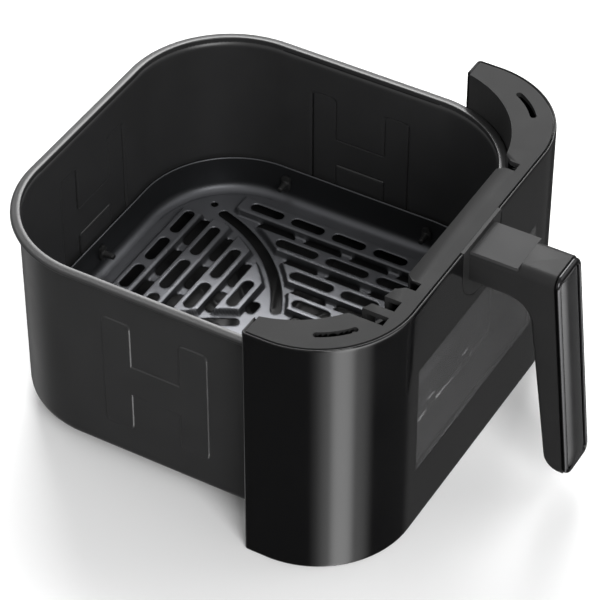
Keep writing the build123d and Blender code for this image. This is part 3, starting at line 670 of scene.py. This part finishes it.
# The frame is a bead carried round the face: up its inner side, over both rounds and down to its foot
def gripTrim(halfX, halfY):
    wall, depth = grip["trimWall"], grip["trimDepth"]
    inner, outer = grip["innerRound"], grip["outerRound"]
    profile = np.concatenate([
        [(-wall, 0.0)],
        arcPoints((-wall + inner[0], depth - inner[1]), inner, 180, 90, 8),
        arcPoints((-outer[0], depth - outer[1]), outer, 84, 0, 11),
        grip["beadFoot"],
    ])
    points, blocks = carried(profile, *roundedLoop(halfX, halfY, grip["trimCorner"], *grip["loopSteps"]))
    meshPiece("grip_trim_bead", onGripFace(points), blocks, "grip_trim", grip["trimFinish"], sharpAngle=40)


# The panel's height is its depth less crown * |across / half| ** power, less the ends' slope and rolled edge
def gripPanel(halfX, halfY, corner):
    def outline(x, y):
        return grip["outlineSlack"] - softBoxDistance(x, y, halfX, halfY, corner)

    lines = [
        half * np.sin(np.linspace(-quarterTurn, quarterTurn, count)) * reach
        for half, count, reach in zip((halfX, halfY), grip["panelGrid"], grip["gridReach"])
    ]
    x, y, blocks = cutSheet(*lines, outline)
    roll = edgeDrop(-softBoxDistance(x, y, halfX, halfY, corner), grip["edgeRound"], grip["edgeRound"])
    ends = np.clip(np.abs(y) - halfY + grip["endRun"], 0, None) / grip["endRun"]
    sink = grip["crown"] * (np.abs(x) / halfX) ** grip["crownPower"] * (1 - grip["endFlat"] * ends**2)
    out = grip["panelDepth"] - sink - grip["endSink"] * ends**3 - roll
    points = onGripFace(np.stack([x, y, out], axis=1))
    panel = meshPiece("grip_panel_face", points, blocks, "grip_panel", grip["panelFinish"], sharpAngle=60)
    thicken(panel, grip["panelSheet"])


gripHalfY = (grip["trimSpan"][1] - grip["trimSpan"][0]) / 2
panelInset = grip["trimWall"] + grip["joint"]
gripTrim(grip["trimHalf"], gripHalfY)
gripPanel(grip["trimHalf"] - panelInset, gripHalfY - panelInset, grip["trimCorner"] - panelInset)
print("grip front shaped")

shell = dict(
    corner=57.0,
    edge=2.5,  # radius of the free side edges
    flange=13.4,  # return behind each free edge
    wall=2.0,
    lip=0.9,  # radius of the top and bottom edges
    lipRows=6,
    window=(76.4, 68.5, 36.9, 1.5),  # middle height, half width, half height and corner
    base=(141.3, 21.5),  # height of the base plate's round centre, and its radius
    rowStep=2.6,
    rowStart=1.5,  # rows keep this far above the lower lip
    rowEnd=1.0,  # and this far below the upper one
    squareOn=0.01,  # a heading within this many radians of the front's is on the flat front
    columns=(4, 8, 6, 64, 72, 64, 6, 8, 4),  # in each straight or arc from the left flange to the right
    fineSteps=8000,  # for the sum along the path
    finish=dict(colour=(0.004, 0.004, 0.0042), ior=1.4, roughness=0.12, roughSpread=0.15, blotchScale=25),
)


# Columns, positions and normal angles from the left flange round the front to the right flange. The normal's
# angle grows evenly along each arc, and the position is the sum of small steps at right angles to it
def shellPath():
    corner, edge = shell["corner"], shell["edge"]
    width, depth, _ = shellHigh - shellLow
    side = [shell["flange"] - edge, edge * quarterTurn, depth - edge - corner, corner * quarterTurn]
    lengths = side + [width - 2 * corner] + side[::-1]
    ends = np.concatenate([[0], np.cumsum(lengths)])
    arcs = np.arange(len(lengths)) % 2  # straights and arcs take turns
    headings = quarterTurn + quarterTurn * np.concatenate([[0], np.cumsum(arcs)])
    spans = zip(ends, ends[1:], shell["columns"])
    columns = np.concatenate([np.linspace(a, b, n, endpoint=False) for a, b, n in spans] + [ends[-1:]])
    fine = np.linspace(0, ends[-1], shell["fineSteps"] + 1)
    middle = np.interp((fine[1:] + fine[:-1]) / 2, ends, headings) + quarterTurn
    step = fine[1] - fine[0]
    x = shellLow[0] + shell["flange"] + np.concatenate([[0], np.cumsum(np.cos(middle))]) * step
    y = shellHigh[1] + np.concatenate([[0], np.cumsum(np.sin(middle))]) * step

    def at(travel):
        return np.interp(travel, fine, x), np.interp(travel, fine, y), np.interp(travel, ends, headings)

    return columns, at


# The front is a cut sheet over the length along its path and the height, rolled in by its lip at both edges
def frontShell():
    columns, at = shellPath()
    top, lip = shellHigh[2], shell["lip"]
    rounding = lip * (1 - np.cos(np.linspace(0, quarterTurn, shell["lipRows"])))
    between = np.arange(lip + shell["rowStart"], top - lip - shell["rowEnd"], shell["rowStep"])
    rows = np.concatenate([rounding, between, top - rounding[::-1]])

    def onShell(travel, height):
        x, _, angle = at(travel)
        middle, halfWidth, halfHeight, corner = shell["window"]
        window = softBoxDistance(x, height - middle, halfWidth, halfHeight, corner)
        centre, radius = shell["base"]
        base = np.hypot(x, np.minimum(height - centre, 0)) - radius
        onFront = np.abs(angle - 3 * quarterTurn) < shell["squareOn"]
        return np.where(onFront, np.minimum(window, base), farAway)

    travel, height, blocks = cutSheet(columns, rows, onShell)
    x, y, angle = at(travel)
    inset = edgeDrop(np.minimum(height, top - height), lip, lip)
    points = np.stack([x - inset * np.cos(angle), y - inset * np.sin(angle), height], axis=1)
    piece = meshPiece("shell_skin", points, blocks, "front_shell", shell["finish"], sharpAngle=50)
    thicken(piece, shell["wall"])


frontShell()
print("front shell moulded")

# Pieces taken over from the frame, by the material slot that they show
carriedOver = dict(
    weldDistance=0.002,
    sharpAngle=28.0,
    finishes=dict(
        bumper_silicone=dict(colour=(0.012, 0.012, 0.012), roughness=0.6, grain=0.2, grainScale=1800),
        bezel_matte=dict(
            colour=(0.031, 0.031, 0.0312),
            ior=1.16,
            roughness=0.55,
            grain=0.5,
            grainScale=1900,
            grainDepth=0.06,
        ),
        cover_black=dict(colour=(0.012, 0.012, 0.012), roughness=0.5, grain=0.3, grainScale=1500),
        pane_tinted=dict(colour=(0.05, 0.05, 0.051), ior=1.75, roughness=0.03, roughSpread=0.2, alpha=0.72),
        seal_black=dict(colour=(0.01, 0.01, 0.01), roughness=0.65, grain=0.2, grainScale=1600),
        glass_clear=dict(colour=(0.10, 0.11, 0.11), roughness=0.03, alpha=0.3, blotch=0.03),
        steel_sheet=dict(
            colour=(0.42, 0.42, 0.43),
            metallic=1.0,
            roughness=0.3,
            grain=0.3,
            grainScale=500,
            stretch=(0.1, 1.0, 6.0),
        ),
        steel_fastener=dict(
            colour=(0.4, 0.4, 0.41), metallic=1.0, roughness=0.28, grain=0.2, grainScale=900
        ),
        handle_black=dict(
            colour=(0.022, 0.022, 0.0222), ior=1.2, roughness=0.42, grain=0.5, grainScale=1700
        ),
        core_cast=dict(colour=(0.35, 0.35, 0.36), metallic=1.0, roughness=0.45, grain=0.5, grainScale=700),
        cap_grey=dict(colour=(0.045, 0.045, 0.0455), ior=1.18, roughness=0.5, grain=0.5, grainScale=1900),
    ),
)


# A copy of a CAD piece with its corners welded, smooth rounds, and normals weighted by the size of its faces
def softened(node):
    copied = frame["nodes"][node].data.copy()
    piece = bpy.data.objects.new(node + "_smooth", copied)
    bpy.context.scene.collection.objects.link(piece)
    weld = piece.modifiers.new("weld", "WELD")
    weld.merge_threshold = carriedOver["weldDistance"] * millimetre
    graph = bpy.context.evaluated_depsgraph_get()
    piece.data = bpy.data.meshes.new_from_object(piece.evaluated_get(graph))
    piece.modifiers.clear()
    bpy.data.meshes.remove(copied)
    smoothFaces(piece.data, carriedOver["sharpAngle"])
    weighted = piece.modifiers.new("even_normals", "WEIGHTED_NORMAL")
    weighted.keep_sharp = True
    dress(piece, node, carriedOver["finishes"][slotOf[node]])


leftOver = [node for node in sorted(frame["nodes"]) if node not in shownNodes]
for node in leftOver:
    softened(node)
print("pieces smoothed:", len(leftOver), "finishes made:", len(finishOf))

stage = dict(
    floorSize=14.0,  # metres, as all of the stage is
    floorColour=(0.96, 0.96, 0.96),
    floorRoughness=0.9,
    above=0.54,  # brightness of the room above the horizon
    below=0.05,  # brightness below it, which only gloss can see
    horizon=0.1,  # half height of the change between them
    lampTarget=(0.0, 0.0, 0.08),
    lamps=dict(
        overhead=dict(place=(1.45, 0.85, 1.6), size=(1.3, 1.3), power=56),
        frontRight=dict(place=(1.7, -1.5, 2.1), size=(2.2, 2.2), power=20),
        leftFront=dict(place=(-1.5, -1.7, 1.5), size=(1.1, 1.4), power=44),
    ),
    glows=(  # soft cards below the table's edge: heading and half width in degrees, strength, height band
        dict(towards=224, spread=26, strength=0.8, rise=(-1.1, -0.2)),
        dict(towards=236, spread=16, strength=2.6, rise=(-1.1, -0.2)),
        dict(towards=240, spread=34, strength=1.5, rise=(-1.1, -0.2)),
        dict(towards=338, spread=20, strength=0.11, rise=(-1.1, -0.2)),
        dict(towards=78, spread=24, strength=0.5, rise=(-1.1, -0.2)),
        dict(towards=264, spread=50, strength=6.0, rise=(-0.58, -0.25)),
    ),
    glowEdge=0.05,  # half height over which a card's ends fade
    camera=dict(
        sensor=36.0,
        lens=180.24,
        turn=-60.067,
        rise=41.855,
        place=(-1.09491, -0.61266, 1.19238),
        far=50.0,
    ),
)


# A flat pale square; gloss mirrors the dark room below it, as on a clear table
def paleFloor():
    half = stage["floorSize"] / 2
    mesh = bpy.data.meshes.new("floor")
    corners = [(-half, -half, 0), (half, -half, 0), (half, half, 0), (-half, half, 0)]
    mesh.from_pydata(corners, [], [(0, 1, 2, 3)])
    floor = bpy.data.objects.new("floor", mesh)
    bpy.context.scene.collection.objects.link(floor)
    paint = bpy.data.materials.new("floor_paint")
    paint.use_nodes = True
    shader = paint.node_tree.nodes["Principled BSDF"]
    shader.inputs["Base Color"].default_value = (*stage["floorColour"], 1.0)
    shader.inputs["Roughness"].default_value = stage["floorRoughness"]
    mesh.materials.append(paint)
    floor.visible_glossy = False


# Rectangular lamp at a place, turned so that it faces the target
def softBox(name, place, size, power):
    lamp = bpy.data.lights.new(name, "AREA")
    lamp.shape = "RECTANGLE"
    lamp.size, lamp.size_y = size
    lamp.energy = power
    held = bpy.data.objects.new(name, lamp)
    held.location = place
    held.rotation_euler = (Vector(stage["lampTarget"]) - Vector(place)).to_track_quat("-Z", "Y").to_euler()
    bpy.context.scene.collection.objects.link(held)


# Runs from low to high as the value goes from start to end, as smoothStep does
def eased(tree, value, start, end, low, high):
    sockets = {"Value": value, "From Min": start, "From Max": end, "To Min": low, "To Max": high}
    return addNode(tree, "MapRange", sockets, interpolation_type="SMOOTHSTEP").outputs["Result"]


# Brightness of the room: a step at the horizon, plus each card's bell round its heading times its band
def studioRoom():
    world = bpy.data.worlds.new("studio")
    world.use_nodes = True
    tree = world.node_tree
    place = addNode(tree, "TexCoord").outputs["Generated"]
    height = addNode(tree, "SeparateXYZ", {"Vector": place}).outputs["Z"]
    level = {0: place, 1: (1.0, 1.0, 0.0)}
    flat = addNode(tree, "VectorMath", level, operation="MULTIPLY").outputs["Vector"]
    heading = addNode(tree, "VectorMath", {0: flat}, operation="NORMALIZE").outputs["Vector"]
    total = eased(tree, height, -stage["horizon"], stage["horizon"], stage["below"], stage["above"])
    for glow in stage["glows"]:
        turn = math.radians(glow["towards"])
        middle = (math.cos(turn), math.sin(turn), 0.0)
        near = addNode(tree, "VectorMath", {0: heading, 1: middle}, operation="DOT_PRODUCT").outputs["Value"]
        card = eased(tree, near, math.cos(math.radians(glow["spread"])), 1.0, 0.0, glow["strength"])
        for end, edge in zip(glow["rise"], (stage["glowEdge"], -stage["glowEdge"])):
            band = eased(tree, height, end - edge, end + edge, 0.0, 1.0)
            card = addNode(tree, "Math", {0: card, 1: band}, operation="MULTIPLY").outputs["Value"]
        total = addNode(tree, "Math", {0: card, 1: total}, operation="ADD").outputs["Value"]
    background = tree.nodes["Background"]
    background.inputs["Color"].default_value = (1.0, 1.0, 1.0, 1.0)
    tree.links.new(total, background.inputs["Strength"])
    bpy.context.scene.world = world
    bpy.context.scene.view_settings.view_transform = "Standard"


# Level camera: its back is turned about the upright and raised, and right and up follow from it
def addCamera():
    view = stage["camera"]
    lens = bpy.data.cameras.new("camera")
    lens.sensor_width = view["sensor"]
    lens.lens = view["lens"]
    lens.clip_end = view["far"]
    camera = bpy.data.objects.new("camera", lens)
    turn, rise = math.radians(view["turn"]), math.radians(view["rise"])
    back = Vector((math.sin(turn) * math.cos(rise), -math.cos(turn) * math.cos(rise), math.sin(rise)))
    right = Vector((math.cos(turn), math.sin(turn), 0.0))
    camera.matrix_world = Matrix((right, back.cross(right), back)).transposed().to_4x4()
    camera.location = view["place"]
    bpy.context.scene.collection.objects.link(camera)
    bpy.context.scene.camera = camera


paleFloor()
studioRoom()
for name, lamp in stage["lamps"].items():
    softBox(name, **lamp)
addCamera()
print("scene ready")
